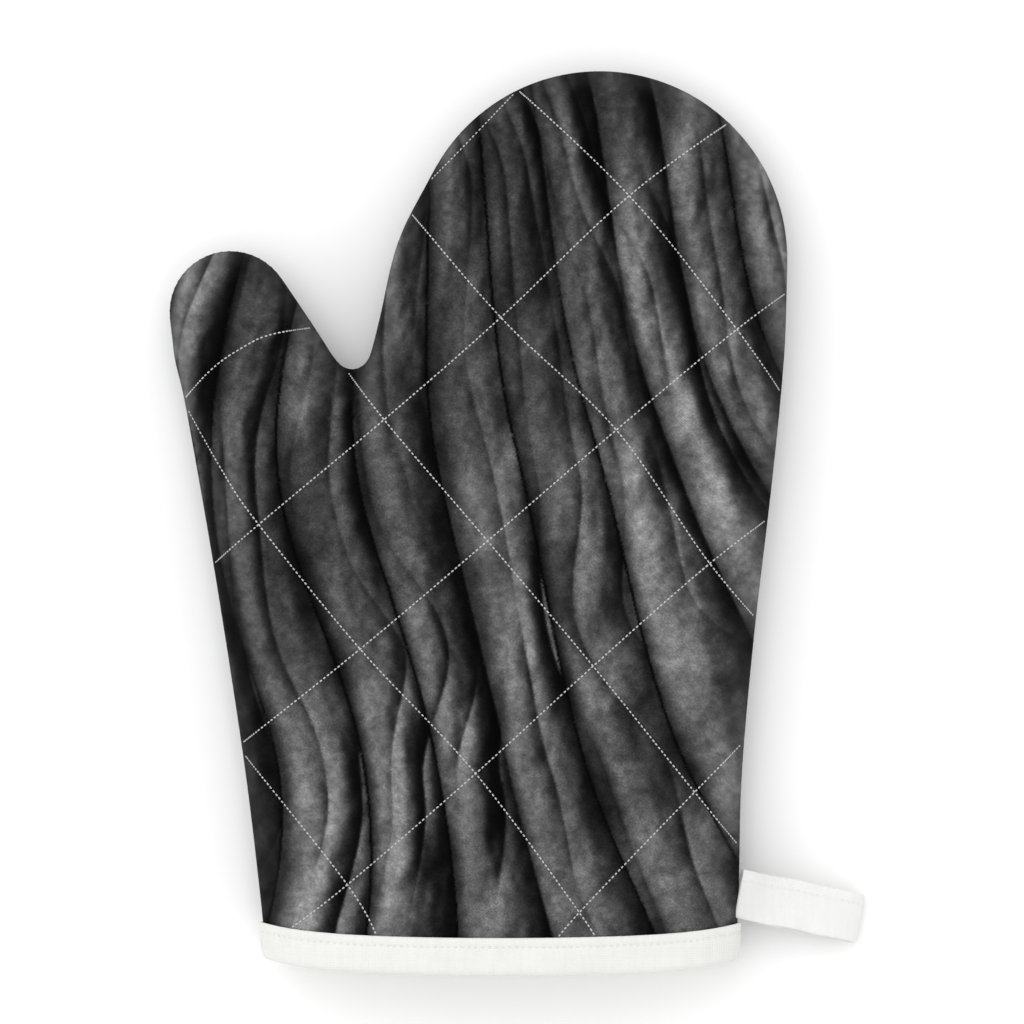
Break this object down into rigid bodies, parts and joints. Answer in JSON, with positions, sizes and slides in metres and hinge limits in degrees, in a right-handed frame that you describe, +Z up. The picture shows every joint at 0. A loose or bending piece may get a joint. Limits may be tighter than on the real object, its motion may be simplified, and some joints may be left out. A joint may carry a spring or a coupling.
{
  "type": "oven mitt",
  "caption": "Quilted padded oven mitt with a separate thumb, a bound open cuff and a fabric hanging loop that swings at the side seam.",
  "frame": {"origin": "On the supporting surface, under the centre of the whole mitt seen in plan.", "axes": "+Y from the cuff to the fingertips, +X from the thumb side to the hanging loop's side, +Z up through the mitt's thickness as it lies on its back panel"},
  "size_m": [0.2164, 0.281, 0.0403],
  "materials": {
    "printed_cotton": "matte printed cotton",
    "wadding": "soft needled batting",
    "lining_cotton": "matte cotton",
    "binding_tape": "ribbed cotton tape",
    "white_thread": "twisted polyester thread",
    "grey_thread": "twisted polyester thread"
  },
  "bodies": {
    "mitt": {"front_outer_panel": "printed_cotton", "back_outer_panel": "printed_cotton", "front_wadding": "wadding", "back_wadding": "wadding", "front_lining": "lining_cotton", "back_lining": "lining_cotton", "seam_thread": "grey_thread", "cuff_binding": "binding_tape", "binding_stitch_outside": "white_thread", "binding_stitch_inside": "white_thread", "front_quilting_row_01": "white_thread", "front_quilting_row_02": "white_thread", "front_quilting_row_03": "white_thread", "front_quilting_row_04": "white_thread", "front_quilting_row_05": "white_thread", "front_quilting_row_06": "white_thread", "front_quilting_row_07": "white_thread", "front_quilting_row_08": "white_thread", "front_quilting_row_09": "white_thread", "front_quilting_row_10": "white_thread", "front_quilting_row_11": "white_thread", "back_quilting_row_01": "white_thread", "back_quilting_row_02": "white_thread", "back_quilting_row_03": "white_thread", "back_quilting_row_04": "white_thread", "back_quilting_row_05": "white_thread", "back_quilting_row_06": "white_thread", "back_quilting_row_07": "white_thread", "back_quilting_row_08": "white_thread", "back_quilting_row_09": "white_thread", "back_quilting_row_10": "white_thread", "back_quilting_row_11": "white_thread"},
    "loop": {"hanging_loop": "binding_tape", "loop_stitch": "white_thread"}
  },
  "joints": [
    {"name": "loop_swing", "type": "hinge", "parent": "mitt", "child": "loop", "pos_m": [0.06991, -0.11573, 0.016], "axis": [0, -1, 0], "range_deg": [-50, 90]}
  ]
}
